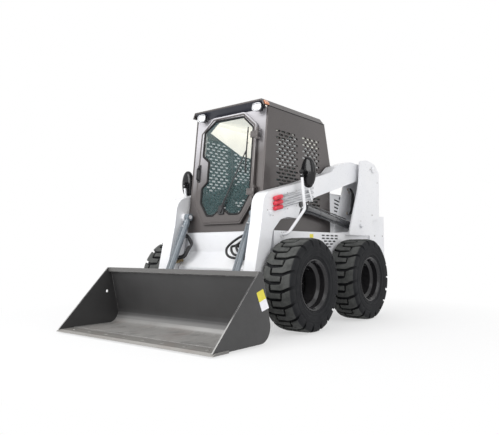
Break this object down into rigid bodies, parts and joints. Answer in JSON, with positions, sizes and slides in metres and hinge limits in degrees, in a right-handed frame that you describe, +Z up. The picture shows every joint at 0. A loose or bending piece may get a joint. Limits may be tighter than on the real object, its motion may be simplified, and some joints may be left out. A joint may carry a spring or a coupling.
{
  "type": "skid steer loader",
  "caption": "Wheeled skid steer loader: enclosed cab between two lift arms hinged high at the rear, hydraulic cylinders and a wide front bucket on a tilting coupler.",
  "frame": {"origin": "on the ground under the middle of the whole machine", "axes": "+X to the machine's left, +Y to its rear, +Z up"},
  "size_m": [1.88, 3.46, 2.14],
  "materials": {
    "white_paint": "semi-gloss",
    "hood_paint": "satin",
    "cab_paint": "satin metallic",
    "bucket_paint": "satin",
    "bucket_steel": "worn",
    "dark_steel": "satin",
    "engine_metal": "matt",
    "cylinder_paint": "gloss",
    "blue_grey_paint": "gloss",
    "rod_chrome": "polished",
    "rim_paint": "gloss",
    "tyre_rubber": "matt",
    "tinted_glass": "polished",
    "rubber_mat": "matt",
    "seat_vinyl": "satin",
    "black_plastic": "satin",
    "lamp_housing": "gloss",
    "amber_lens": "gloss",
    "red_lens": "gloss",
    "zinc_pipe": "zinc plated",
    "hose_rubber": "matt"
  },
  "bodies": {
    "root": {"chassis_tub": "white_paint", "axle_housings": "dark_steel", "engine_block": "engine_metal", "tail_frame": "white_paint", "engine_sides": "white_paint", "tail_lamps": "red_lens", "upright_left": "white_paint", "upright_right": "white_paint", "cab_front_frame": "cab_paint", "cab_side_left": "cab_paint", "cab_side_right": "cab_paint", "cab_roof": "cab_paint", "cab_rear": "cab_paint", "cab_glass": "tinted_glass", "cab_floor": "rubber_mat", "seat": "seat_vinyl", "controls": "black_plastic", "work_lamps": "lamp_housing", "marker_lamps": "amber_lens", "mirror_stalks": "white_paint", "mirrors": "black_plastic", "upright_hoses": "hose_rubber"},
    "arms": {"arm_left": "white_paint", "arm_right": "white_paint", "cross_tube": "white_paint", "arm_pipes": "zinc_pipe", "arm_hoses": "hose_rubber"},
    "bucket": {"coupler": "bucket_paint", "bucket": "bucket_paint", "cutting_edge": "bucket_steel"},
    "lift_barrels": {"lift_barrels": "cylinder_paint"},
    "lift_rods": {"lift_rods": "rod_chrome"},
    "tilt_barrels": {"tilt_barrels": "blue_grey_paint"},
    "tilt_rods": {"tilt_rods": "rod_chrome"},
    "hood": {"engine_hood": "hood_paint"},
    "rear_door": {"rear_door": "white_paint"},
    "cab_door": {"door_frame": "cab_paint", "door_glass": "tinted_glass", "door_fittings": "black_plastic"},
    "wheel_front_left": {"tyre_front_left": "tyre_rubber", "rim_front_left": "rim_paint"},
    "wheel_front_right": {"tyre_front_right": "tyre_rubber", "rim_front_right": "rim_paint"},
    "wheel_rear_left": {"tyre_rear_left": "tyre_rubber", "rim_rear_left": "rim_paint"},
    "wheel_rear_right": {"tyre_rear_right": "tyre_rubber", "rim_rear_right": "rim_paint"}
  },
  "joints": [
    {"name": "wheel_front_left_spin", "type": "hinge", "parent": "root", "child": "wheel_front_left", "pos_m": [0, -0.37, 0.4165], "axis": [1, 0, 0], "continuous": true},
    {"name": "wheel_front_right_spin", "type": "hinge", "parent": "root", "child": "wheel_front_right", "pos_m": [0, -0.37, 0.4165], "axis": [1, 0, 0], "continuous": true},
    {"name": "wheel_rear_left_spin", "type": "hinge", "parent": "root", "child": "wheel_rear_left", "pos_m": [0, 0.73, 0.4165], "axis": [1, 0, 0], "continuous": true},
    {"name": "wheel_rear_right_spin", "type": "hinge", "parent": "root", "child": "wheel_rear_right", "pos_m": [0, 0.73, 0.4165], "axis": [1, 0, 0], "continuous": true},
    {"name": "lift", "type": "hinge", "parent": "root", "child": "arms", "pos_m": [0, 1.35, 1.65], "axis": [-1, 0, 0], "range_deg": [0, 64]},
    {"name": "bucket_tilt", "type": "hinge", "parent": "arms", "child": "bucket", "pos_m": [0, -0.85, 0.205], "axis": [1, 0, 0], "range_deg": [-28, 100]},
    {"name": "cab_door_swing", "type": "hinge", "parent": "root", "child": "cab_door", "pos_m": [0.385, -0.54437, 1.50574], "axis": [0, 0.1196, 0.9928], "range_deg": [0, 90]},
    {"name": "rear_door_swing", "type": "hinge", "parent": "root", "child": "rear_door", "pos_m": [-0.447, 1.712, 0.8], "axis": [0, 0, 1], "range_deg": [0, 100]},
    {"name": "hood_lift", "type": "hinge", "parent": "root", "child": "hood", "pos_m": [0, 0.75, 1.322], "axis": [1, 0, 0], "range_deg": [0, 60]},
    {"name": "lift_barrel_swing", "type": "hinge", "parent": "root", "child": "lift_barrels", "pos_m": [0, 1.03, 0.985], "axis": [-1, 0, 0], "range_deg": [-1, 61]},
    {"name": "lift_rod_slide", "type": "slide", "parent": "lift_barrels", "child": "lift_rods", "axis": [0, -0.9886, 0.1504], "range_m": [-0.002, 0.79]},
    {"name": "tilt_barrel_swing", "type": "hinge", "parent": "arms", "child": "tilt_barrels", "pos_m": [0, -0.605, 1.055], "axis": [1, 0, 0], "range_deg": [-1, 2]},
    {"name": "tilt_rod_slide", "type": "slide", "parent": "tilt_barrels", "child": "tilt_rods", "axis": [0, -0.4344, -0.9007], "range_m": [-0.07, 0.245]}
  ],
  "couplings": [
    {"joint": "lift_barrel_swing", "follows": "lift", "ratio": 0.9366},
    {"joint": "lift_rod_slide", "follows": "lift", "m_per_rad": 0.6998},
    {"joint": "tilt_barrel_swing", "follows": "bucket_tilt", "ratio": 0.0128},
    {"joint": "tilt_rod_slide", "follows": "bucket_tilt", "m_per_rad": 0.1384}
  ]
}
